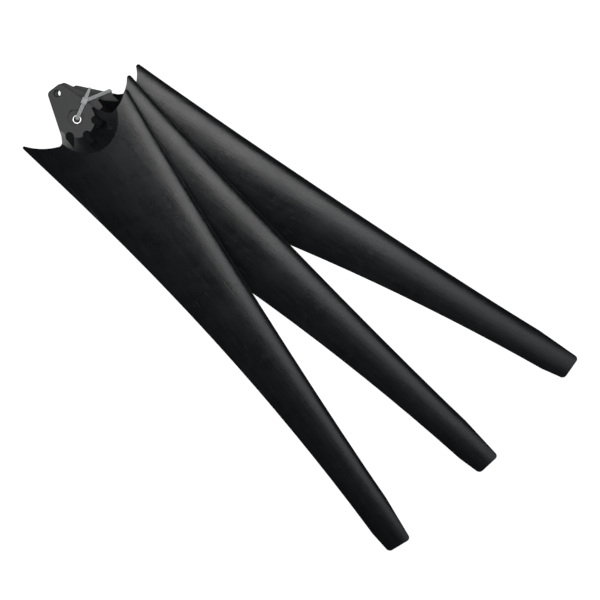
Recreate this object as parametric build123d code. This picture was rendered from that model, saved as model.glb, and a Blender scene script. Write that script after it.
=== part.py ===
from build123d import *

import math
import os

# Three identical moulded blades of a small wind turbine, stacked at their flat root tabs,
# fanned, and strung on one cable tie that runs through the steel bush of each tab.
#
# Millimetres, +Z up. The origin is the centre of the front blade's end hole at the face of
# its tab. +X runs along the front blade to its tip, +Y points to its leading edge.
# A blade is modelled once in its own frame, which is the row frame for the front blade.

# ---------------------------------------------------------------- driving dimensions, blade
HOLE_TO_BUSH = 33.0          # end hole to bush, along the tab
SPAN = 545.0                 # bush to the tip's furthest corner
ROOT_CHORD = 121.0           # plan width abreast of the bush
TIP_CHORD = 32.0             # plan width at the tip, before its ends are drawn in
TAPER_POWER = 1.8            # how fast the width falls away from the root
BOW = 4.6                    # how far the middle line bows to the leading edge at mid span
ROOT_PITCH = 17.0            # degrees, leading edge up
TIP_PITCH = 3.0
ROOT_DEPTH = 9.5             # greatest thickness of the aerofoil at the root
TIP_DEPTH = 3.2
CAMBER_RATIO = 0.035         # rise of the middle line over the chord
FULLEST = 0.3                # the section's control point of greatest depth, from the nose
NOSE_PULL = 0.47             # how full the nose is, over the depth
BEZIER_MIDDLE = 0.375        # weight of each inner control point at mid curve
TRAILING_EDGE = 1.2          # thickness of the trailing edge
LEVEL_LINE = 25.0            # the skin meets the tab's face this far to the trailing side
RAKE = 14.0                  # how far the tip lies below the root
TIP_BACK = (-2.7, -13.4)     # trailing corner of the tip, from the furthest point and the axis
TIP_FRONT = (0.0, 12.4)      # leading corner, which stands out furthest
TIP_DRAW_BACK = 36.0         # each edge is drawn in to its corner over this length
TIP_DRAW_FRONT = 62.0
TIP_RADIUS_BACK = 5.0
TIP_RADIUS_FRONT = 4.0
CLEAR = 0.8                  # a trimming line starts this far outside an edge that it runs into

# ---------------------------------------------------------------- driving dimensions, root
TAB_THICKNESS = 8.0
TAB_TAIL = 6.6               # end hole to the end of the tab
TAB_END_BACK = 7.9           # half widths at the end, to the trailing and leading side
TAB_END_FRONT = 9.5
TAB_SLOPE_BACK = 19.1        # degrees that each side of the tab opens
TAB_SLOPE_FRONT = 16.5
TAB_CORNER = 5.0             # corner radius at the end of the tab
TAB_EDGE = 0.8               # rounding along the tab's rims
END_HOLE = 7.0               # diameter, clears an M6 screw
HOLE_RIM = 0.4               # chamfer of the end hole
NECK = 4.6                   # bush to where the tab's sides end, along X
TAB_INSET = 1.1              # the blade's skins stop this far inside the tab's outline
TAB_BURIED = 8.0             # bush to the tab's inner end, inside the root
BOSS_RADIUS = 18.5           # flat boss round the bush
OVER_TAB = 44.0              # width that is kept clear above the tab
DISH_RADIUS = 35.0           # where the dished wall round the boss meets the skin
DISH_SHIFT = 3.0             # the dish's rim is off the bush by this, in X and in Y
SEAT_RADIUS = 21.0           # round seat of the solid root at the tab's underside
DISH_WALL = 7.0              # wall under the dish
DISH_RIM = 1.0               # the solid root stops this far below the skin
NOTCH_DEPTH_BACK = 12.5      # bush to the bottom of each notch beside the tab, along X
NOTCH_DEPTH_FRONT = 16.5
NOTCH_RADIUS = 4.5
NOTCH_WIDTH_BACK = 4.6       # tab side to the bottom of each notch
NOTCH_WIDTH_FRONT = 8.4
SPIKE_BACK = 15.5            # trailing spike's corner reaches this far behind the bush
SPIKE_FRONT = -2.8           # leading spike's corner stops short of the bush by this
SPIKE_RADIUS_BACK = 1.5
SPIKE_RADIUS_FRONT = 2.5
SPIKE_DRAW = 20.0            # each edge is drawn in to its spike over this length
HORN_SAG = 3.5               # how hollow each edge from notch to spike is

POCKET_CIRCLE = 18.7         # the three core pockets start on this radius round the bush
POCKET_WIDTH = 8.4
POCKET_DEPTH = 5.0           # below the tab's face
POCKET_START = (-61.0, -4.0, 51.0)       # degrees round the bush
POCKET_HEADING = (-16.0, 0.0, 23.0)      # degrees that each runs outwards
POCKET_RUN = (2.0, 10.8, 9.4)            # straight part
POCKET_POINT = (11.0, 12.0, 12.6)        # pointed part
POCKET_SILL_BACK = 1.0                   # the sill is this far into the pointed part
POCKET_SILL = (-4.6, 1.2, 2.4)           # height of the floor there
POCKET_FLOOR_END = (-3.0, None, None)    # and at the point; None where it climbs to the skin

# ---------------------------------------------------------------- driving dimensions, bush
BUSH_OUTER = 9.4
BUSH_INNER = 6.0
BUSH_PROUD = 0.6             # the bush stands out of the recess's floor by this
BUSH_RIM = 0.4               # chamfer at both ends, inside and outside
RECESS_FLATS = 15.5          # hexagonal recess over the bush, across flats
RECESS_DEPTH = 4.0
RECESS_SHIFT = 2.4           # its middle is off the bush to the end hole by this
RECESS_CORNER = 2.4

# ---------------------------------------------------------------- driving dimensions, bundle
NAMES = ("front", "middle", "rear")
STACK_PITCH = 10.5           # from one tab's face to the next
FAN_STEP = (11.85, 12.25)     # degrees between neighbouring blades
BUSH_STEP = ((1.2, 10.4), (8.5, 16.0))   # from each bush to the next, in row X and Y

# ---------------------------------------------------------------- driving dimensions, tie
STRAP_WIDTH = 3.6
STRAP_THICKNESS = 1.2
STRAP_GAP = 0.6              # the strap keeps this far off the tabs
STRAP_GAP_UNDER = 0.1        # and this far off the rear tab's underside
STRAP_BEND = 2.0             # how far before each corner the strap starts to turn
CORNER_CUT = 0.2929          # how far a round turn passes inside its corner
TIE_HEAD = (6.6, 6.0, 4.6)   # along the strap, across it, and high
TIE_HEAD_EDGE = 0.8
TIE_HEAD_PLACE = (-10.0, 17.4)           # from the front bush, in row X and Y
TIE_EDGE_PLACE = (-13.1, 18.5)           # from the rear bush to where the strap goes up
TIE_TAIL = 14.8              # free end beyond the head
TIE_RISE = 2.6               # the free end stands up by this
TIE_LEAN = 2.0               # the strap leans to the head from this far above the rear tab

REACH = 400.0                # longer than any cut needs


# ================================================================ laws of the blade's shape
TIP_X = HOLE_TO_BUSH + SPAN


def along(x):
    """0 abreast of the bush, 1 at the tip."""
    return (x - HOLE_TO_BUSH) / SPAN


def left_over(x, power):
    """1 abreast of the bush, falling to 0 at the tip."""
    return max(0.0, 1.0 - along(x)) ** power


def chord(x):
    return TIP_CHORD + (ROOT_CHORD - TIP_CHORD) * left_over(x, TAPER_POWER)


def edges(x):
    """Y of the trailing and the leading edge."""
    middle = BOW * math.sin(math.pi * min(1.0, max(0.0, along(x))))
    return middle - chord(x) / 2, middle + chord(x) / 2


def slope(x):
    return math.tan(math.radians(TIP_PITCH + (ROOT_PITCH - TIP_PITCH) * left_over(x, 2)))


def depth(x):
    return TIP_DEPTH + (ROOT_DEPTH - TIP_DEPTH) * left_over(x, 1.4)


def line_height(x, y):
    """Height of the chord line: the pitch turns about a line that sinks with the rake."""
    level = -LEVEL_LINE * left_over(x, 1)
    sink = ROOT_DEPTH / 2 * left_over(x, 1) + RAKE * max(0.0, along(x)) ** 1.5
    return slope(x) * (y - level) - sink


def skin_controls(x, side):
    """Control points of the upper (side 1) or lower (side -1) skin's section, nose first."""
    back, front = edges(x)
    pull = NOSE_PULL * depth(x)
    swell = depth(x) / (2 * BEZIER_MIDDLE) - pull
    arch = CAMBER_RATIO * chord(x) / BEZIER_MIDDLE
    points = (
        (0.0, 0.0),
        (0.0, side * pull),
        (FULLEST, arch + side * swell),
        (1.0, side * TRAILING_EDGE / 2),
    )
    placed = []
    for from_nose, height in points:
        y = front - from_nose * chord(x)
        placed.append((x, y, line_height(x, y) + height))
    return placed


def skin_height(x, y):
    """Height of the upper skin over a point of the plan."""
    curve = Bezier(*skin_controls(x, 1))
    nose, tail = 0.0, 1.0
    while tail - nose > 1e-6:
        middle = (nose + tail) / 2
        if (curve @ middle).Y > y:
            nose = middle
        else:
            tail = middle
    return (curve @ nose).Z


# ================================================================ blade
STATIONS = (-0.06, 0.03, 0.12, 0.22, 0.34, 0.47, 0.61, 0.76, 0.9, 1.02)


def section(x):
    top = Bezier(*skin_controls(x, 1))
    bottom = Bezier(*skin_controls(x, -1))
    end = Line(top @ 1, bottom @ 1)
    return Face(Wire([top, end, bottom]))


def aerofoil():
    return loft([section(HOLE_TO_BUSH + SPAN * t) for t in STATIONS])


def skin_plane(lift):
    """A plane beside the upper skin at the root, lift above the level line."""
    tilt = math.degrees(math.atan(slope(HOLE_TO_BUSH + DISH_RADIUS)))
    return Plane(Location((HOLE_TO_BUSH, -LEVEL_LINE, lift), (tilt, 0, 0)))


def rim_circle(radius, lift):
    """A circle that is round in plan, drawn on the plane beside the skin."""
    plane = skin_plane(lift)
    centre = (HOLE_TO_BUSH + DISH_SHIFT, DISH_SHIFT)
    climb = slope(HOLE_TO_BUSH + DISH_RADIUS)
    height = lift + climb * (centre[1] + LEVEL_LINE)
    stretch = math.hypot(1.0, climb)
    turned = Plane(origin=(centre[0], centre[1], height), x_dir=plane.x_dir, z_dir=plane.z_dir)
    return (turned * Ellipse(radius, radius * stretch)).face()


def dish():
    """The cut above the boss: a dished wall from the boss's circle out to the skin."""
    boss = (Pos(HOLE_TO_BUSH, 0, 0) * Circle(BOSS_RADIUS)).face()
    lift = ROOT_DEPTH / 2
    rim = rim_circle(DISH_RADIUS + lift, lift)
    wall = loft([boss, rim], ruled=True) + extrude(rim, amount=REACH / 10, dir=(0, 0, 1))
    over_tab = Pos(HOLE_TO_BUSH, 0, 0) * Box(
        HOLE_TO_BUSH + TAB_TAIL, OVER_TAB, REACH / 10, align=(Align.MAX, Align.CENTER, Align.MIN)
    )
    return wall + over_tab


def root_block():
    """Solid root under the dish, which the dish is then cut from."""
    seat = (Pos(HOLE_TO_BUSH, 0, -TAB_THICKNESS) * Circle(SEAT_RADIUS)).face()
    low = rim_circle(DISH_RADIUS + 2 * DISH_RIM, -DISH_WALL)
    high = rim_circle(DISH_RADIUS + 2 * DISH_RIM, -DISH_RIM)
    return loft([seat, low], ruled=True) + loft([low, high], ruled=True)


def tab_side(x, grow=0.0):
    """Y of the tab's two sides at x."""
    back = TAB_END_BACK + (x + TAB_TAIL) * math.tan(math.radians(TAB_SLOPE_BACK))
    front = TAB_END_FRONT + (x + TAB_TAIL) * math.tan(math.radians(TAB_SLOPE_FRONT))
    return -back - grow, front + grow


def tab():
    """The flat tongue, rounded along its rims; its inner end is buried in the root."""
    inner = HOLE_TO_BUSH + TAB_BURIED
    end = -TAB_TAIL
    corners = [
        (end, tab_side(end)[0]),
        (end, tab_side(end)[1]),
        (inner, tab_side(inner)[1]),
        (inner, tab_side(inner)[0]),
    ]
    plate = extrude(make_face(Polyline(*corners, close=True)), amount=-TAB_THICKNESS)
    plate = fillet(plate.edges().filter_by(Axis.Z).group_by(Axis.X)[0], TAB_CORNER)
    rims = plate.faces().sort_by(Axis.Z)[0].edges() + plate.faces().sort_by(Axis.Z)[-1].edges()
    return fillet(rims, TAB_EDGE)


def blade_edge(x, side, out):
    """A point beside the blade's trailing (side -1) or leading (side 1) edge, out from it."""
    return x, edges(x)[0 if side < 0 else 1] + side * out


def horn(x_spike, side, notch):
    """Hollow edge from a notch to a spike, and on beside the blade until it is clear."""
    spike = blade_edge(x_spike, side, -CLEAR / 2)
    middle = ((notch[0] + spike[0]) / 2 + HORN_SAG, (notch[1] + spike[1]) / 2 + side * HORN_SAG / 2)
    clear = blade_edge(x_spike + SPIKE_DRAW, side, CLEAR)
    wide = (clear[0], side * ROOT_CHORD)
    return spike, wide, [ThreePointArc(notch, middle, spike), Line(spike, clear), Line(clear, wide)]


def neck_point(side, along_x, out):
    """A point beside the tab's side, on along X from where the side ends."""
    x = HOLE_TO_BUSH + NECK
    return HOLE_TO_BUSH + along_x, tab_side(x)[0 if side < 0 else 1] + side * out


def round_off(outline, corners):
    """Rounds the outline's corner at each (point, radius)."""
    for point, radius in corners:
        corner = outline.vertices().sort_by_distance(Vector(*point))[0]
        outline = fillet([corner], radius)
    return outline


def plan():
    """Everything of the blade lies inside this outline; between its ends it stays clear."""
    end = -TAB_TAIL + TAB_INSET
    tail_back = (end, tab_side(end, -TAB_INSET)[0])
    tail_front = (end, tab_side(end, -TAB_INSET)[1])
    neck_back, neck_front = neck_point(-1, NECK, 0), neck_point(1, NECK, 0)
    notch_back = neck_point(-1, NOTCH_DEPTH_BACK, NOTCH_WIDTH_BACK)
    notch_front = neck_point(1, NOTCH_DEPTH_FRONT, NOTCH_WIDTH_FRONT)
    spike_back, wide_back, back = horn(HOLE_TO_BUSH - SPIKE_BACK, -1, notch_back)
    spike_front, wide_front, front = horn(HOLE_TO_BUSH - SPIKE_FRONT, 1, notch_front)
    tip_back = (TIP_X + TIP_BACK[0], TIP_BACK[1])
    tip_front = (TIP_X + TIP_FRONT[0], TIP_FRONT[1])
    draw_back, draw_front = TIP_X - TIP_DRAW_BACK, TIP_X - TIP_DRAW_FRONT
    neck = Polyline(notch_back, neck_back, tail_back, tail_front, neck_front, notch_front)
    tip = Polyline(
        wide_back,
        (draw_back, wide_back[1]),
        blade_edge(draw_back, -1, CLEAR),
        tip_back,
        tip_front,
        blade_edge(draw_front, 1, CLEAR),
        (draw_front, wide_front[1]),
        wide_front,
    )
    outline = make_face(Curve() + back + neck.edges() + front + tip.edges())
    corners = (
        (notch_back, NOTCH_RADIUS),
        (notch_front, NOTCH_RADIUS),
        (spike_back, SPIKE_RADIUS_BACK),
        (spike_front, SPIKE_RADIUS_FRONT),
        (tip_back, TIP_RADIUS_BACK),
        (tip_front, TIP_RADIUS_FRONT),
    )
    return round_off(outline, corners)


def pocket(start, heading, run, point, sill, floor_end):
    """A core pocket: round start, straight walls and a pointed end over a floor that climbs."""
    angle = math.radians(start)
    centre = (HOLE_TO_BUSH + POCKET_CIRCLE * math.cos(angle), POCKET_CIRCLE * math.sin(angle))
    half = POCKET_WIDTH / 2
    if floor_end is None:
        reach = run + point
        turn = math.radians(heading)
        floor_end = skin_height(centre[0] + reach * math.cos(turn), centre[1] + reach * math.sin(turn))
    outline = Circle(half) + Pos(run / 2, 0) * Rectangle(run, POCKET_WIDTH)
    outline += make_face(Polyline((run, -half), (run, half), (run + point, 0), close=True))
    top = REACH / 8
    side = Polyline(
        (-half, -POCKET_DEPTH),
        (half, -POCKET_DEPTH),
        (run + POCKET_SILL_BACK, sill),
        (run + point, floor_end),
        (run + point, top),
        (-half, top),
        close=True,
    )
    cut = extrude(Pos(0, 0, -POCKET_DEPTH) * outline, amount=top + POCKET_DEPTH)
    cut = cut & extrude(make_face(Plane.XZ * side), amount=half, both=True)
    return Pos(centre[0], centre[1], 0) * Rot(0, 0, heading) * cut


def bush_seat():
    """Hexagonal recess with rounded corners, and the bore under it for the bush."""
    hexagon = RegularPolygon(RECESS_FLATS / 2, 6, major_radius=False)
    hexagon = fillet(hexagon.vertices(), RECESS_CORNER)
    recess = extrude(hexagon, amount=-RECESS_DEPTH)
    bore = extrude(Circle(BUSH_OUTER / 2), amount=-TAB_THICKNESS)
    return Pos(HOLE_TO_BUSH, 0, 0) * (Pos(-RECESS_SHIFT, 0, 0) * recess + bore)


def end_hole():
    radius = END_HOLE / 2
    middle = -TAB_THICKNESS / 2
    hole = Pos(0, 0, middle) * Cylinder(radius, TAB_THICKNESS)
    for face, turn in ((0.0, 180), (-TAB_THICKNESS, 0)):
        cone = Cone(radius + HOLE_RIM, radius, HOLE_RIM, align=(Align.CENTER, Align.CENTER, Align.MIN))
        hole += Pos(0, 0, face) * Rot(turn, 0, 0) * cone
    return hole


def blade():
    body = aerofoil() + root_block()
    body = body & extrude(plan(), amount=REACH / 4, both=True)
    body = body + tab()
    body = body - dish()
    shapes = (POCKET_START, POCKET_HEADING, POCKET_RUN, POCKET_POINT, POCKET_SILL, POCKET_FLOOR_END)
    for values in zip(*shapes):
        body = body - pocket(*values)
    body = body - bush_seat() - end_hole()
    return body


def bush():
    length = TAB_THICKNESS - RECESS_DEPTH + BUSH_PROUD
    ring = Cylinder(BUSH_OUTER / 2, length) - Cylinder(BUSH_INNER / 2, length)
    rims = ring.edges().filter_by(GeomType.CIRCLE)
    return Pos(HOLE_TO_BUSH, 0, length / 2 - TAB_THICKNESS) * chamfer(rims, BUSH_RIM)


# ================================================================ bundle
def bush_places():
    """Row X and Y of each blade's bush, and the angle that the blade is fanned by."""
    x, y, angle = HOLE_TO_BUSH, 0.0, 0.0
    places = [(x, y, angle)]
    for (step_x, step_y), turn in zip(BUSH_STEP, FAN_STEP):
        x, y, angle = x + step_x, y + step_y, angle + turn
        places.append((x, y, angle))
    return places


def on_blade(index):
    """Takes a shape from a blade's own frame to the blade's place in the bundle."""
    x, y, angle = bush_places()[index]
    return Pos(x, y, -index * STACK_PITCH) * Rot(0, 0, angle) * Pos(-HOLE_TO_BUSH, 0, 0)


# ================================================================ cable tie
def tie_route():
    """Corner points of the strap, from its free end to its root in the head."""
    bushes = [(x, y) for x, y, angle in bush_places()]
    head = (bushes[0][0] + TIE_HEAD_PLACE[0], bushes[0][1] + TIE_HEAD_PLACE[1])
    edge = (bushes[2][0] + TIE_EDGE_PLACE[0], bushes[2][1] + TIE_EDGE_PLACE[1])
    away = math.hypot(*TIE_HEAD_PLACE)
    tail = (
        head[0] + TIE_HEAD_PLACE[0] * TIE_TAIL / away,
        head[1] + TIE_HEAD_PLACE[1] * TIE_TAIL / away,
    )
    on_face = STRAP_GAP + STRAP_THICKNESS / 2
    head_height = STRAP_GAP + TIE_HEAD[2] / 2
    under = -2 * STACK_PITCH - TAB_THICKNESS - STRAP_GAP_UNDER - STRAP_THICKNESS / 2
    points = [(*tail, head_height + TIE_RISE), (*head, head_height), (*bushes[0], on_face)]
    for index in (0, 1):
        between = -index * STACK_PITCH - (TAB_THICKNESS + STACK_PITCH) / 2
        points += [(*bushes[index], between), (*bushes[index + 1], between)]
    points += [(*bushes[2], under), (*edge, under), (*edge, under + TAB_THICKNESS + TIE_LEAN)]
    points += [(*head, head_height)]
    return [Vector(*p) for p in points]


def heading(a, b):
    """Compass angle of the run from a to b; None for an upright run."""
    run = b - a
    level = math.hypot(run.X, run.Y)
    return None if level < 0.01 * run.length else math.degrees(math.atan2(run.Y, run.X))


def strap_angles(points):
    """The compass angle that the strap's flat side faces along, at each end of each run."""
    level = [heading(a, b) for a, b in zip(points, points[1:])]
    turned = []
    last = level[0]
    for angle in level:
        if angle is not None:
            while angle - last > 90:
                angle -= 180
            while angle - last < -90:
                angle += 180
            last = angle
        turned.append(angle)
    ends = []
    for index, angle in enumerate(turned):
        if angle is None:
            ends.append((turned[index - 1], turned[index + 1]))
        else:
            ends.append((angle, angle))
    return ends


def strap_section(centre, along_strap, angle):
    turn = math.radians(angle)
    across = Vector(-math.sin(turn), math.cos(turn), 0)
    plane = Plane(origin=centre, x_dir=across, z_dir=along_strap)
    return (plane * Rectangle(STRAP_WIDTH, STRAP_THICKNESS)).face()


def strap():
    """The flat strap, twisting a little on the upright runs between two headings."""
    points = tie_route()
    angles = strap_angles(points)
    sections = [strap_section(points[0], points[1] - points[0], angles[0][0])]
    last = len(points) - 2
    for index, (first, second) in enumerate(zip(points, points[1:])):
        run = (second - first).normalized()
        start, stop = angles[index]
        low = first if index == 0 else first + run * STRAP_BEND
        high = second if index == last else second - run * STRAP_BEND
        if index > 0:
            sections.append(strap_section(low, run, start))
        sections.append(strap_section((low + high) / 2, run, (start + stop) / 2))
        sections.append(strap_section(high, run, stop))
        if index < last:
            onward = (points[index + 2] - second).normalized()
            corner = second + (onward - run) * STRAP_BEND * CORNER_CUT
            sections.append(strap_section(corner, run + onward, stop))
    return loft(sections, ruled=True)


def cable_tie():
    points = tie_route()
    turn = math.degrees(math.atan2(TIE_HEAD_PLACE[1], TIE_HEAD_PLACE[0]))
    head = Box(*TIE_HEAD)
    head = fillet(head.edges(), TIE_HEAD_EDGE)
    return strap() + Pos(points[1]) * Rot(0, 0, turn) * head


# ================================================================ files
def main():
    os.makedirs("parts", exist_ok=True)
    one_blade = blade()
    one_bush = bush()
    for index, name in enumerate(NAMES):
        export_step(on_blade(index) * one_blade, f"parts/blade_{name}.step")
        export_step(on_blade(index) * one_bush, f"parts/bush_{name}.step")
    export_step(cable_tie(), "parts/cable_tie.step")


main()
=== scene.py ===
import bpy
import math
from mathutils import Matrix, Vector


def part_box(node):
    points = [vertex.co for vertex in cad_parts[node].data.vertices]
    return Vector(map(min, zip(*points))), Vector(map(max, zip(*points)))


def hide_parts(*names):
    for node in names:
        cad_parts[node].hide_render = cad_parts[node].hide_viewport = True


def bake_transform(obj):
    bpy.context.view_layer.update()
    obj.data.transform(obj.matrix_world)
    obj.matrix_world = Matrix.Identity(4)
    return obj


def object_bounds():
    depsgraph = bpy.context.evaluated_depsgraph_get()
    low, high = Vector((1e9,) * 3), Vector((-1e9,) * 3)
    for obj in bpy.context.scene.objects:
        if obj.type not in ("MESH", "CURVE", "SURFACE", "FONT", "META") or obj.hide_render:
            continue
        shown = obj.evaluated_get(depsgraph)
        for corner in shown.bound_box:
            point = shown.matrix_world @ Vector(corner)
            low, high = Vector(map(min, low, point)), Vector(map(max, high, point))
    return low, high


# Three black moulded turbine blades, fanned on a white cable tie, seen square to their root tabs.
# Metres, +Z out of the front blade's tab, +X along the front blade to its tip.

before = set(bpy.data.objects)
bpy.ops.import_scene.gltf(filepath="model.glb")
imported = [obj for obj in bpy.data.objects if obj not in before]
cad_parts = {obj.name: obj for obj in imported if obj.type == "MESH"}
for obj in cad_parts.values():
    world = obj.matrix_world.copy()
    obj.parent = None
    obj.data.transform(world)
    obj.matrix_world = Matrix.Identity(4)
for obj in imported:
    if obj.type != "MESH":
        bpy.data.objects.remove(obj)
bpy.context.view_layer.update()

MM = 0.001


# ---------------------------------------------------------------- places, from the frame
def middle_of(node):
    low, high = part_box(node)
    return (Vector(low) + Vector(high)) / 2


BLADES = ("front", "middle", "rear")
BUSHES = [middle_of("bush_" + name) for name in BLADES]
FAN = [0.0, math.radians(11.85), math.radians(24.1)]
TAB_THICKNESS = 8.0 * MM
UNDERS = [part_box("bush_" + name)[0][2] for name in BLADES]
FACES = [under + TAB_THICKNESS for under in UNDERS]


# ---------------------------------------------------------------- small tools
def deselect():
    if bpy.context.object and bpy.context.object.mode != "OBJECT":
        bpy.ops.object.mode_set(mode="OBJECT")
    bpy.ops.object.select_all(action="DESELECT")


def pick(piece):
    deselect()
    piece.select_set(True)
    bpy.context.view_layer.objects.active = piece


def name_piece(name):
    piece = bpy.context.object
    piece.name = name
    piece.data.name = name
    return piece


def choose(piece, kind, wanted):
    """Selects the piece's faces, edges or vertices that wanted() says yes to, in edit mode."""
    pick(piece)
    bpy.ops.object.mode_set(mode="EDIT")
    bpy.ops.mesh.select_mode(type=kind)
    bpy.ops.mesh.select_all(action="DESELECT")
    bpy.ops.object.mode_set(mode="OBJECT")
    mesh = piece.data
    items = {"FACE": mesh.polygons, "EDGE": mesh.edges, "VERT": mesh.vertices}[kind]
    for item in items:
        item.select = bool(wanted(item))
    bpy.ops.object.mode_set(mode="EDIT")


def apply_modifiers(piece):
    pick(piece)
    for modifier in list(piece.modifiers):
        bpy.ops.object.modifier_apply(modifier=modifier.name)


def apply_place(piece):
    pick(piece)
    bpy.ops.object.transform_apply(location=True, rotation=True, scale=True)


# ---------------------------------------------------------------- node tools
def new_material(name):
    material = bpy.data.materials.new(name)
    material.use_nodes = True
    tree = material.node_tree
    shader = next(node for node in tree.nodes if node.type == "BSDF_PRINCIPLED")
    return material, tree, shader


def new_group(name, inputs, outputs):
    """A shader node group with named sockets, each given as (name, kind, default)."""
    group = bpy.data.node_groups.new(name, "ShaderNodeTree")
    for way, sockets in (("INPUT", inputs), ("OUTPUT", outputs)):
        for label, kind, default in sockets:
            socket = group.interface.new_socket(name=label, in_out=way, socket_type="NodeSocket" + kind)
            if default is not None:
                socket.default_value = default
    source = group.nodes.new("NodeGroupInput")
    sink = group.nodes.new("NodeGroupOutput")
    return group, source, sink


def add_node(tree, kind, values=None, **settings):
    node = tree.nodes.new("ShaderNode" + kind)
    for key, value in settings.items():
        setattr(node, key, value)
    for key, value in (values or {}).items():
        node.inputs[key].default_value = value
    return node


def ramp_node(tree, stops):
    node = tree.nodes.new("ShaderNodeValToRGB")
    while len(node.color_ramp.elements) < len(stops):
        node.color_ramp.elements.new(0.5)
    for element, (place, grey) in zip(node.color_ramp.elements, stops):
        element.position = place
        element.color = (grey, grey, grey, 1.0)
    return node


# ---------------------------------------------------------------- shared effects
def build_grain_group():
    """Fine moulded grain: a height for a Bump node, and a mask that speckles the gloss."""
    group, source, sink = new_group(
        "moulded_grain",
        [("Vector", "Vector", None), ("Size", "Float", 1500.0), ("Fibre", "Float", 0.4)],
        [("Height", "Float", None), ("Speckle", "Float", None)],
    )
    fine = add_node(group, "TexNoise", {"Detail": 5.0, "Roughness": 0.62})
    group.links.new(source.outputs["Vector"], fine.inputs["Vector"])
    group.links.new(source.outputs["Size"], fine.inputs["Scale"])
    stretch = add_node(group, "Mapping", {"Scale": (0.12, 1.0, 1.0)})
    group.links.new(source.outputs["Vector"], stretch.inputs["Vector"])
    fibre = add_node(group, "TexNoise", {"Scale": 900.0, "Detail": 3.0, "Roughness": 0.7})
    group.links.new(stretch.outputs["Vector"], fibre.inputs["Vector"])
    blend = add_node(group, "Mix", data_type="FLOAT")
    group.links.new(source.outputs["Fibre"], blend.inputs["Factor"])
    group.links.new(fine.outputs["Fac"], blend.inputs["A"])
    group.links.new(fibre.outputs["Fac"], blend.inputs["B"])
    group.links.new(blend.outputs["Result"], sink.inputs["Height"])
    speckle = ramp_node(group, ((0.35, 0.0), (0.75, 1.0)))
    group.links.new(fine.outputs["Fac"], speckle.inputs["Fac"])
    group.links.new(speckle.outputs["Color"], sink.inputs["Speckle"])
    return group


def build_flow_group():
    """Cloudy bloom and long flow streaks that a filled nylon shows along the blade."""
    group, source, sink = new_group(
        "flow_marks",
        [("Vector", "Vector", None)],
        [("Cloud", "Float", None), ("Streak", "Float", None)],
    )
    cloud_look = {"Scale": 34.0, "Detail": 6.0, "Roughness": 0.58, "Distortion": 0.5}
    cloud = add_node(group, "TexNoise", cloud_look)
    group.links.new(source.outputs["Vector"], cloud.inputs["Vector"])
    cloud_ramp = ramp_node(group, ((0.3, 0.0), (0.72, 1.0)))
    group.links.new(cloud.outputs["Fac"], cloud_ramp.inputs["Fac"])
    group.links.new(cloud_ramp.outputs["Color"], sink.inputs["Cloud"])
    stretch = add_node(group, "Mapping", {"Scale": (0.06, 1.0, 0.4)})
    group.links.new(source.outputs["Vector"], stretch.inputs["Vector"])
    streak_look = {"Scale": 210.0, "Detail": 4.0, "Roughness": 0.65, "Distortion": 0.15}
    streak = add_node(group, "TexNoise", streak_look)
    group.links.new(stretch.outputs["Vector"], streak.inputs["Vector"])
    streak_ramp = ramp_node(group, ((0.36, 0.0), (0.7, 1.0)))
    group.links.new(streak.outputs["Fac"], streak_ramp.inputs["Fac"])
    group.links.new(streak_ramp.outputs["Color"], sink.inputs["Streak"])
    return group


def build_scuff_group():
    """Sparse hair scratches and rubbed patches from handling."""
    group, source, sink = new_group(
        "scuffs",
        [("Vector", "Vector", None), ("Turn", "Vector", (0.0, 0.0, 0.5))],
        [("Scratch", "Float", None), ("Rub", "Float", None)],
    )
    turned = add_node(group, "Mapping", {"Scale": (0.03, 1.0, 1.0)})
    group.links.new(source.outputs["Vector"], turned.inputs["Vector"])
    group.links.new(source.outputs["Turn"], turned.inputs["Rotation"])
    hair = add_node(group, "TexNoise", {"Scale": 520.0, "Detail": 2.0, "Roughness": 0.5})
    group.links.new(turned.outputs["Vector"], hair.inputs["Vector"])
    hair_ramp = ramp_node(group, ((0.70, 0.0), (0.735, 1.0)))
    group.links.new(hair.outputs["Fac"], hair_ramp.inputs["Fac"])
    group.links.new(hair_ramp.outputs["Color"], sink.inputs["Scratch"])
    rub = add_node(group, "TexNoise", {"Scale": 60.0, "Detail": 8.0, "Roughness": 0.75})
    group.links.new(source.outputs["Vector"], rub.inputs["Vector"])
    rub_ramp = ramp_node(group, ((0.56, 0.0), (0.68, 1.0)))
    group.links.new(rub.outputs["Fac"], rub_ramp.inputs["Fac"])
    group.links.new(rub_ramp.outputs["Color"], sink.inputs["Rub"])
    return group


GRAIN = build_grain_group()
FLOW = build_flow_group()
SCUFFS = build_scuff_group()


def place_group(tree, group, vector):
    node = tree.nodes.new("ShaderNodeGroup")
    node.node_tree = group
    tree.links.new(vector, node.inputs["Vector"])
    return node


def mix_value(tree, factor, low, high):
    """A value that runs from low to high as factor runs from 0 to 1."""
    node = add_node(tree, "MapRange", {"To Min": low, "To Max": high})
    tree.links.new(factor, node.inputs["Value"])
    return node.outputs["Result"]


def feed(tree, socket, value):
    """Links a socket's value in, or sets a plain value."""
    if isinstance(value, bpy.types.NodeSocket):
        tree.links.new(value, socket)
    else:
        socket.default_value = value


# The Mix node repeats its A, B and Result for each data type, so these go by index.
MIX_FACTOR = 0
MIX_FLOAT = (2, 3, 0)
MIX_COLOUR = (6, 7, 2)


def mix_colour(tree, factor, first, second):
    first, second = (c if isinstance(c, bpy.types.NodeSocket) else (*c, 1.0) for c in (first, second))
    return mix_node(tree, "RGBA", MIX_COLOUR, factor, first, second)


def blend_values(tree, factor, first, second):
    return mix_node(tree, "FLOAT", MIX_FLOAT, factor, first, second)


def mix_node(tree, data_type, places, factor, first, second):
    node = add_node(tree, "Mix", data_type=data_type)
    feed(tree, node.inputs[MIX_FACTOR], factor)
    feed(tree, node.inputs[places[0]], first)
    feed(tree, node.inputs[places[1]], second)
    return node.outputs[places[2]]


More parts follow.
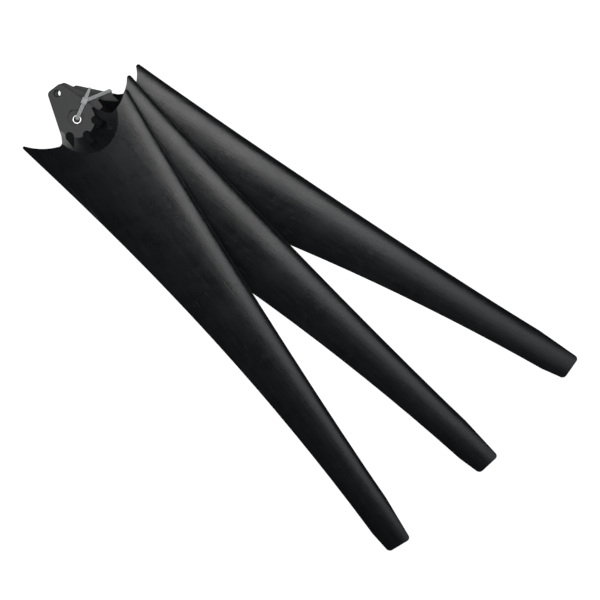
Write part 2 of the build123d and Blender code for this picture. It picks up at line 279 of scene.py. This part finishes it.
def combine(tree, operation, first, second):
    node = add_node(tree, "Math", operation=operation)
    feed(tree, node.inputs[0], first)
    feed(tree, node.inputs[1], second)
    return node.outputs[0]


def add_share(tree, base, mask, share):
    """The base value with a share of the mask added."""
    return combine(tree, "ADD", base, combine(tree, "MULTIPLY", mask, share))


def tint(tree, base, mask, share, colour):
    """The base colour pulled towards another by a share of the mask."""
    return mix_colour(tree, combine(tree, "MULTIPLY", mask, share), base, colour)


# ---------------------------------------------------------------- materials
BOSS_REACH = 19.5 * MM
TAB_REACH = 45.0 * MM            # the tab's far corners lie within this of the bush
CORE_REACH = (10.0 * MM, 33.0 * MM)
FACE_OVER_BUSH = 5.7 * MM        # from a bush's middle up to the tab's face
CORE_DEPTH = 0.8 * MM            # anything further below the face is taken as a pocket
MATT_TAB = 0.50
MATT_CORE = 1.0


def root_masks(tree, vector):
    """1 on the flat tab and boss, taken as matt, and 1 deep in the core pockets."""
    flat = add_node(tree, "Mapping", {"Scale": (1.0, 1.0, 0.0)})
    tree.links.new(vector, flat.inputs["Vector"])
    length = add_node(tree, "VectorMath", operation="LENGTH")
    tree.links.new(flat.outputs["Vector"], length.inputs[0])
    radius = length.outputs["Value"]
    parts = add_node(tree, "SeparateXYZ")
    tree.links.new(vector, parts.inputs["Vector"])
    on_boss = combine(tree, "LESS_THAN", radius, BOSS_REACH)
    behind_bush = combine(tree, "LESS_THAN", parts.outputs["X"], 0.0)
    tab = combine(tree, "MAXIMUM", on_boss, behind_bush)
    tab = combine(tree, "MULTIPLY", tab, combine(tree, "LESS_THAN", radius, TAB_REACH))
    low = combine(tree, "LESS_THAN", parts.outputs["Z"], FACE_OVER_BUSH - CORE_DEPTH)
    outside = combine(tree, "GREATER_THAN", radius, CORE_REACH[0])
    inside = combine(tree, "LESS_THAN", radius, CORE_REACH[1])
    return tab, combine(tree, "MULTIPLY", low, combine(tree, "MULTIPLY", outside, inside))


def black_nylon(name, bush, turn):
    """Glass-filled black nylon. The pattern is turned so that its streaks run along the blade."""
    material, tree, shader = new_material(name)
    links = tree.links
    place = add_node(tree, "TexCoord")
    lay = add_node(tree, "Mapping", vector_type="TEXTURE")
    lay.inputs["Location"].default_value = bush
    lay.inputs["Rotation"].default_value = (0.0, 0.0, turn)
    links.new(place.outputs["Object"], lay.inputs["Vector"])
    vector = lay.outputs["Vector"]

    grain = place_group(tree, GRAIN, vector)
    flow = place_group(tree, FLOW, vector)
    scuffs = place_group(tree, SCUFFS, vector)

    cloud, streak = flow.outputs["Cloud"], flow.outputs["Streak"]
    rub, scratch = scuffs.outputs["Rub"], scuffs.outputs["Scratch"]

    tone = mix_colour(tree, cloud, (0.0028, 0.0032, 0.0037), (0.0045, 0.0052, 0.0060))
    tone = tint(tree, tone, streak, 0.35, (0.008, 0.009, 0.010))
    tone = tint(tree, tone, rub, 0.3, (0.013, 0.014, 0.015))
    tone = tint(tree, tone, scratch, 0.5, (0.05, 0.052, 0.054))
    links.new(tone, shader.inputs["Base Color"])

    rough = mix_value(tree, cloud, 0.22, 0.29)
    rough = add_share(tree, rough, streak, 0.045)
    rough = add_share(tree, rough, grain.outputs["Speckle"], 0.04)
    rough = add_share(tree, rough, rub, 0.05)
    tab, cored = root_masks(tree, vector)
    rough = blend_values(tree, tab, rough, MATT_TAB)
    rough = blend_values(tree, cored, rough, MATT_CORE)
    links.new(rough, shader.inputs["Roughness"])

    bump = add_node(tree, "Bump", {"Strength": 0.16, "Distance": 0.0004})
    height = add_share(tree, grain.outputs["Height"], streak, 0.5)
    height = combine(tree, "SUBTRACT", height, combine(tree, "MULTIPLY", scratch, 0.5))
    links.new(height, bump.inputs["Height"])
    links.new(bump.outputs["Normal"], shader.inputs["Normal"])
    shader.inputs["IOR"].default_value = 1.53
    return material


def turned_steel(name, centre):
    """Bright steel with fine turning rings round the bush's axis."""
    material, tree, shader = new_material(name)
    links = tree.links
    place = add_node(tree, "TexCoord")
    shift = add_node(tree, "Mapping", {"Location": (-centre.x, -centre.y, 0.0)})
    links.new(place.outputs["Object"], shift.inputs["Vector"])
    rings = add_node(
        tree,
        "TexWave",
        {"Scale": 1900.0, "Distortion": 1.2, "Detail": 2.0, "Detail Scale": 1.5},
        wave_type="RINGS",
        rings_direction="Z",
    )
    links.new(shift.outputs["Vector"], rings.inputs["Vector"])
    grain = place_group(tree, GRAIN, shift.outputs["Vector"])
    scuffs = place_group(tree, SCUFFS, shift.outputs["Vector"])
    tone = mix_colour(tree, scuffs.outputs["Rub"], (0.66, 0.65, 0.63), (0.50, 0.49, 0.47))
    links.new(tone, shader.inputs["Base Color"])
    shader.inputs["Metallic"].default_value = 1.0
    rough = mix_value(tree, rings.outputs["Fac"], 0.22, 0.34)
    rough = add_share(tree, rough, grain.outputs["Speckle"], 0.06)
    links.new(rough, shader.inputs["Roughness"])
    bump = add_node(tree, "Bump", {"Strength": 0.2, "Distance": 0.0001})
    links.new(rings.outputs["Fac"], bump.inputs["Height"])
    links.new(bump.outputs["Normal"], shader.inputs["Normal"])
    return material


def milky_nylon():
    """Natural nylon of the cable tie: milky, waxy and slightly see-through."""
    material, tree, shader = new_material("milky_nylon")
    links = tree.links
    place = add_node(tree, "TexCoord")
    grain = place_group(tree, GRAIN, place.outputs["Object"])
    flow = place_group(tree, FLOW, place.outputs["Object"])
    scuffs = place_group(tree, SCUFFS, place.outputs["Object"])
    tone = mix_colour(tree, flow.outputs["Cloud"], (0.46, 0.475, 0.47), (0.52, 0.535, 0.53))
    tone = tint(tree, tone, scuffs.outputs["Rub"], 0.25, (0.38, 0.39, 0.38))
    links.new(tone, shader.inputs["Base Color"])
    rough = mix_value(tree, grain.outputs["Speckle"], 0.34, 0.46)
    links.new(rough, shader.inputs["Roughness"])
    bump = add_node(tree, "Bump", {"Strength": 0.15, "Distance": 0.0002})
    links.new(grain.outputs["Height"], bump.inputs["Height"])
    links.new(bump.outputs["Normal"], shader.inputs["Normal"])
    shader.inputs["Subsurface Weight"].default_value = 0.35
    shader.inputs["Subsurface Radius"].default_value = (1.0, 0.95, 0.85)
    shader.inputs["Subsurface Scale"].default_value = 0.0012
    return material


def pale_floor():
    material, _, shader = new_material("pale_floor")
    shader.inputs["Base Color"].default_value = (0.3, 0.3, 0.3, 1.0)
    shader.inputs["Roughness"].default_value = 0.9
    shader.inputs["Emission Color"].default_value = (1.0, 1.0, 1.0, 1.0)
    shader.inputs["Emission Strength"].default_value = 1.0
    return material


def dress(piece, material):
    piece.data.materials.clear()
    piece.data.materials.append(material)


for name, bush, turn in zip(BLADES, BUSHES, FAN):
    dress(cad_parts["blade_" + name], black_nylon("black_nylon_" + name, bush, turn))
    dress(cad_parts["bush_" + name], turned_steel("turned_steel_" + name, bush))


# ---------------------------------------------------------------- route of the strap
STRAP_WIDTH = 3.6 * MM
STRAP_THICKNESS = 1.2 * MM
STRAP_GAP = 0.6 * MM
STRAP_GAP_UNDER = 0.1 * MM
STRAP_BEND = 2.0 * MM
HEAD_SIZE = Vector((6.6, 6.0, 4.6)) * MM
HEAD_FROM_BUSH = Vector((-10.0, 17.4, 0.0)) * MM
EDGE_FROM_BUSH = Vector((-13.1, 18.5, 0.0)) * MM
TAIL_LENGTH = 14.8 * MM
TAIL_RISE = 2.6 * MM
LEAN_ABOVE = 2.0 * MM


def at(place, height):
    return Vector((place.x, place.y, height))


def strap_corners():
    """The strap's corner points from its free end to its root, as the CAD tie has them."""
    on_face = STRAP_GAP + STRAP_THICKNESS / 2
    head_height = FACES[0] + STRAP_GAP + HEAD_SIZE.z / 2
    head = BUSHES[0] + HEAD_FROM_BUSH
    edge = BUSHES[2] + EDGE_FROM_BUSH
    tail = head + HEAD_FROM_BUSH.normalized() * TAIL_LENGTH
    under = UNDERS[2] - STRAP_GAP_UNDER - STRAP_THICKNESS / 2
    corners = [at(tail, head_height + TAIL_RISE), at(head, head_height), at(BUSHES[0], FACES[0] + on_face)]
    for index in (0, 1):
        between = (UNDERS[index] + FACES[index + 1]) / 2
        corners += [at(BUSHES[index], between), at(BUSHES[index + 1], between)]
    corners += [at(BUSHES[2], under), at(edge, under), at(edge, under + TAB_THICKNESS + LEAN_ABOVE)]
    return corners + [at(head, head_height)]


def compass(run):
    """Which way a run points in plan; None where it is upright."""
    return None if math.hypot(run.x, run.y) < 0.01 * run.length else math.atan2(run.y, run.x)


def run_headings(corners):
    """Where the flat of the strap faces at each end of each run, turning as little as it can."""
    plain = [compass(b - a) for a, b in zip(corners, corners[1:])]
    last = plain[0]
    for index, angle in enumerate(plain):
        if angle is None:
            continue
        while angle - last > math.pi / 2:
            angle -= math.pi
        while angle - last < -math.pi / 2:
            angle += math.pi
        plain[index] = last = angle
    ends = []
    for index, angle in enumerate(plain):
        pair = (plain[index - 1], plain[index + 1]) if angle is None else (angle, angle)
        ends.append(pair)
    return ends


RUN_STEPS = 16
TURN_STEPS = 10


def strap_stations():
    """(distance, place, across) along the strap, with round turns at its corners."""
    corners = strap_corners()
    headings = run_headings(corners)
    last = len(corners) - 2
    places, angles = [], []
    for index, (first, second) in enumerate(zip(corners, corners[1:])):
        run = (second - first).normalized()
        low = first if index == 0 else first + run * STRAP_BEND
        high = second if index == last else second - run * STRAP_BEND
        start, stop = headings[index]
        for step in range(RUN_STEPS + 1):
            share = step / RUN_STEPS
            ease = share * share * (3 - 2 * share)
            places.append(low.lerp(high, share))
            angles.append(start + (stop - start) * ease)
        if index < last:
            onward = (corners[index + 2] - second).normalized()
            after = second + onward * STRAP_BEND
            for step in range(1, TURN_STEPS):
                share = step / TURN_STEPS
                places.append(high.lerp(second, share).lerp(second.lerp(after, share), share))
                angles.append(stop)
    stations, distance = [], 0.0
    for index, place in enumerate(places):
        if index:
            distance += (place - places[index - 1]).length
        ahead = places[min(index + 1, len(places) - 1)]
        behind = places[max(index - 1, 0)]
        along = (ahead - behind).normalized()
        across = Vector((-math.sin(angles[index]), math.cos(angles[index]), 0.0))
        across = (across - along * across.dot(along)).normalized()
        stations.append((distance, place, along, across))
    return stations


STATIONS = strap_stations()
STRAP_LENGTH = STATIONS[-1][0]


def on_route(point):
    """Carries a point of the straight strap (x along it, y across, z thick) onto the route."""
    low, high = 0, len(STATIONS) - 1
    while high - low > 1:
        middle = (low + high) // 2
        if STATIONS[middle][0] <= point.x:
            low = middle
        else:
            high = middle
    d0, p0, t0, w0 = STATIONS[low]
    d1, p1, t1, w1 = STATIONS[high]
    share = min(1.0, max(0.0, (point.x - d0) / (d1 - d0)))
    place = p0.lerp(p1, share)
    along = t0.lerp(t1, share).normalized()
    across = w0.lerp(w1, share)
    across = (across - along * across.dot(along)).normalized()
    return place + across * point.y + along.cross(across) * point.z


# ---------------------------------------------------------------- cable tie
TOOTH_PITCH = 1.05 * MM
RAIL = 0.65 * MM                 # smooth rail on each side of the rack
TOOTH_DEPTH = 0.42 * MM
TAIL_TAPER = 9.0 * MM
PLAIN_ROOT = 9.0 * MM            # no teeth on the last stretch before the head
TOOTH_BACK = 0.7                 # share of the pitch where a tooth's slope starts
TOOTH_BACK_SLACK = 0.1
TOOTH_INSET = 0.04 * MM
TOOTH_TIP_DROP = 0.03 * MM
END_SLACK = 0.02 * MM
TAIL_WIDTH = 0.55                # the free end's width and thickness, as shares of the strap's
TAIL_THICKNESS = 0.7
SLOT_CLEAR = 0.3 * MM
SLOT_INSET = 0.9 * MM
HEAD_ROUNDING = 0.45 * MM


def strap_piece():
    """One tooth is modelled, repeated along the strap, and the whole is bent onto the route."""
    count = int(STRAP_LENGTH / TOOTH_PITCH)
    pitch = STRAP_LENGTH / count
    deselect()
    bpy.ops.mesh.primitive_cube_add(size=1.0, location=(pitch / 2, 0.0, 0.0))
    piece = name_piece("tie_strap")
    piece.scale = (pitch, STRAP_WIDTH, STRAP_THICKNESS)
    apply_place(piece)
    rack = STRAP_WIDTH / 2 - RAIL
    for y in (-rack, rack):
        choose(piece, "FACE", lambda face: True)
        bpy.ops.mesh.bisect(plane_co=(0.0, y, 0.0), plane_no=(0.0, 1.0, 0.0))
    choose(piece, "FACE", lambda face: True)
    bpy.ops.mesh.bisect(plane_co=(pitch * TOOTH_BACK, 0.0, 0.0), plane_no=(1.0, 0.0, 0.0))

    def of_rack(face):
        return face.normal.z > 0.9 and abs(face.center.y) < rack

    choose(piece, "FACE", of_rack)
    bpy.ops.mesh.inset(thickness=TOOTH_INSET, use_individual=False)
    bpy.ops.transform.translate(value=(0.0, 0.0, -TOOTH_DEPTH))
    bpy.ops.object.mode_set(mode="OBJECT")
    top = STRAP_THICKNESS / 2
    for vertex in piece.data.vertices:
        sunk = 0 < vertex.co.z < top - TOOTH_DEPTH / 2
        if sunk and abs(vertex.co.x / pitch - TOOTH_BACK) < TOOTH_BACK_SLACK:
            vertex.co.z = top - TOOTH_TIP_DROP

    def at_end(face):
        outermost = face.center.x < END_SLACK or face.center.x > pitch - END_SLACK
        return abs(face.normal.x) > 0.9 and outermost

    choose(piece, "FACE", at_end)
    bpy.ops.mesh.delete(type="FACE")
    bpy.ops.object.mode_set(mode="OBJECT")
    row = piece.modifiers.new("row", "ARRAY")
    row.count = count
    row.use_relative_offset = False
    row.use_constant_offset = True
    row.constant_offset_displace = (pitch, 0.0, 0.0)
    row.use_merge_vertices = True
    row.merge_threshold = 0.01 * MM
    apply_modifiers(piece)
    choose(piece, "VERT", lambda vertex: True)
    bpy.ops.mesh.remove_doubles(threshold=0.008 * MM)
    bpy.ops.mesh.select_all(action="DESELECT")
    bpy.ops.mesh.select_mode(type="EDGE")
    bpy.ops.mesh.select_non_manifold()
    bpy.ops.mesh.edge_face_add()
    bpy.ops.mesh.select_all(action="SELECT")
    bpy.ops.mesh.normals_make_consistent(inside=False)
    bpy.ops.object.mode_set(mode="OBJECT")
    flat_root = STRAP_LENGTH - PLAIN_ROOT
    for vertex in piece.data.vertices:
        co = vertex.co
        if co.x > flat_root and co.z > 0 and abs(co.y) < rack:
            co.z = top
        narrow = min(1.0, max(0.0, co.x / TAIL_TAPER))
        co.y *= TAIL_WIDTH + (1 - TAIL_WIDTH) * narrow
        co.z *= TAIL_THICKNESS + (1 - TAIL_THICKNESS) * narrow
        vertex.co = on_route(co)
    pick(piece)
    bpy.ops.object.shade_smooth_by_angle(angle=math.radians(35))
    return piece


def head_piece():
    """The tie's head: a rounded block with a slot through it."""
    centre = strap_corners()[1]
    turn = math.atan2(HEAD_FROM_BUSH.y, HEAD_FROM_BUSH.x)
    deselect()
    bpy.ops.mesh.primitive_cube_add(size=1.0)
    piece = name_piece("tie_head")
    piece.scale = HEAD_SIZE
    apply_place(piece)
    choose(piece, "FACE", lambda face: abs(face.normal.x) > 0.9)
    bpy.ops.mesh.inset(thickness=SLOT_INSET, use_individual=True)
    bpy.ops.object.mode_set(mode="OBJECT")
    slot_half = (STRAP_WIDTH / 2 + SLOT_CLEAR, STRAP_THICKNESS / 2 + SLOT_CLEAR)
    for vertex in piece.data.vertices:
        co = vertex.co
        if abs(co.y) < HEAD_SIZE.y / 2 - 0.1 * MM:
            co.y = math.copysign(slot_half[0], co.y)
            co.z = math.copysign(slot_half[1], co.z)

    def over_slot(face):
        centred = abs(face.center.y) < 0.1 * MM and abs(face.center.z) < 0.1 * MM
        return abs(face.normal.x) > 0.9 and centred

    choose(piece, "FACE", over_slot)
    bpy.ops.mesh.delete(type="FACE")

    def at_mouth(edge):
        ends = [piece.data.vertices[i].co for i in edge.vertices]
        same_end = abs(ends[0].x - ends[1].x) < 0.01 * MM
        slack = 0.05 * MM
        in_width = all(abs(end.y) < slot_half[0] + slack for end in ends)
        in_height = all(abs(end.z) < slot_half[1] + slack for end in ends)
        return same_end and in_width and in_height

    choose(piece, "EDGE", at_mouth)
    bpy.ops.mesh.bridge_edge_loops()
    bpy.ops.object.mode_set(mode="OBJECT")
    edge = piece.modifiers.new("edge", "BEVEL")
    edge.width = HEAD_ROUNDING
    edge.segments = 3
    edge.limit_method = "ANGLE"
    edge.angle_limit = math.radians(40)
    apply_modifiers(piece)
    piece.matrix_world = Matrix.Translation(centre) @ Matrix.Rotation(turn, 4, "Z")
    apply_place(piece)
    pick(piece)
    bpy.ops.object.shade_smooth_by_angle(angle=math.radians(40))
    return piece


def join(pieces, name):
    deselect()
    for piece in pieces:
        piece.select_set(True)
    bpy.context.view_layer.objects.active = pieces[0]
    bpy.ops.object.join()
    return name_piece(name)


tie = join([strap_piece(), head_piece()], "cable_tie_looped")
dress(tie, milky_nylon())
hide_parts("cable_tie")
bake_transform(tie)


# ---------------------------------------------------------------- floor, light and camera
VIEW_ANGLE = math.atan2(0.7965, 0.6046)      # the front blade points down and right at this
VIEW_CENTRE = Vector((316.3, 69.6, 0.0)) * MM
VIEW_WIDTH = 609.6 * MM
CAMERA_AWAY = 9.0
SENSOR = 36.0
FLOOR_SIZE = 12.0
FLOOR_GAP = 0.2 * MM


def camera_axes():
    right = Vector((math.cos(VIEW_ANGLE), math.sin(VIEW_ANGLE), 0.0))
    up = Vector((-math.sin(VIEW_ANGLE), math.cos(VIEW_ANGLE), 0.0))
    return right, up


def add_camera():
    right, up = camera_axes()
    data = bpy.data.cameras.new("camera")
    camera = bpy.data.objects.new("camera", data)
    bpy.context.collection.objects.link(camera)
    turn = Matrix((right, up, Vector((0.0, 0.0, 1.0)))).transposed().to_4x4()
    camera.matrix_world = Matrix.Translation(VIEW_CENTRE + Vector((0.0, 0.0, CAMERA_AWAY))) @ turn
    data.sensor_width = SENSOR
    data.lens = SENSOR * CAMERA_AWAY / VIEW_WIDTH
    bpy.context.scene.camera = camera


def add_floor():
    low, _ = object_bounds()
    deselect()
    middle = (VIEW_CENTRE.x, VIEW_CENTRE.y, low[2] - FLOOR_GAP)
    bpy.ops.mesh.primitive_plane_add(size=FLOOR_SIZE, location=middle)
    floor = name_piece("floor")
    dress(floor, pale_floor())


def soft_light(name, place, target, size, brightness, colour):
    """A soft box at a place in the frame, as bright as stated whatever its size."""
    data = bpy.data.lights.new(name, "AREA")
    data.shape = "RECTANGLE"
    data.size, data.size_y = size
    data.energy = brightness * math.pi * size[0] * size[1]
    data.color = colour
    light = bpy.data.objects.new(name, data)
    bpy.context.collection.objects.link(light)
    out = (Vector(place) - Vector(target)).normalized()
    side = Vector((0.0, 1.0, 0.0)).cross(out).normalized()
    turn = Matrix((side, out.cross(side), out)).transposed().to_4x4()
    light.matrix_world = Matrix.Translation(place) @ turn


def add_lights():
    cool = (0.90, 0.96, 1.0)
    white = (1.0, 1.0, 1.0)
    over = 0.75
    for name, x, y, size, brightness, colour in (
        ("over_root", -0.01, 0.06, (0.30, 0.42), 5.0, white),
        ("beside_root", -0.02, -0.34, (0.24, 0.34), 1.8, cool),
        ("along_inner", 0.24, 0.20, (0.22, 0.40), 3.5, white),
        ("along_outer", 0.52, 0.24, (0.36, 0.36), 1.3, cool),
    ):
        soft_light(name, (x, y, over), (x, y, 0.0), size, brightness, colour)
    world = bpy.data.worlds.new("studio")
    bpy.context.scene.world = world
    world.use_nodes = True
    background = world.node_tree.nodes["Background"]
    background.inputs["Color"].default_value = (0.75, 0.88, 1.0, 1.0)
    background.inputs["Strength"].default_value = 0.05


add_camera()
add_floor()
add_lights()
bpy.context.scene.view_settings.view_transform = "Standard"
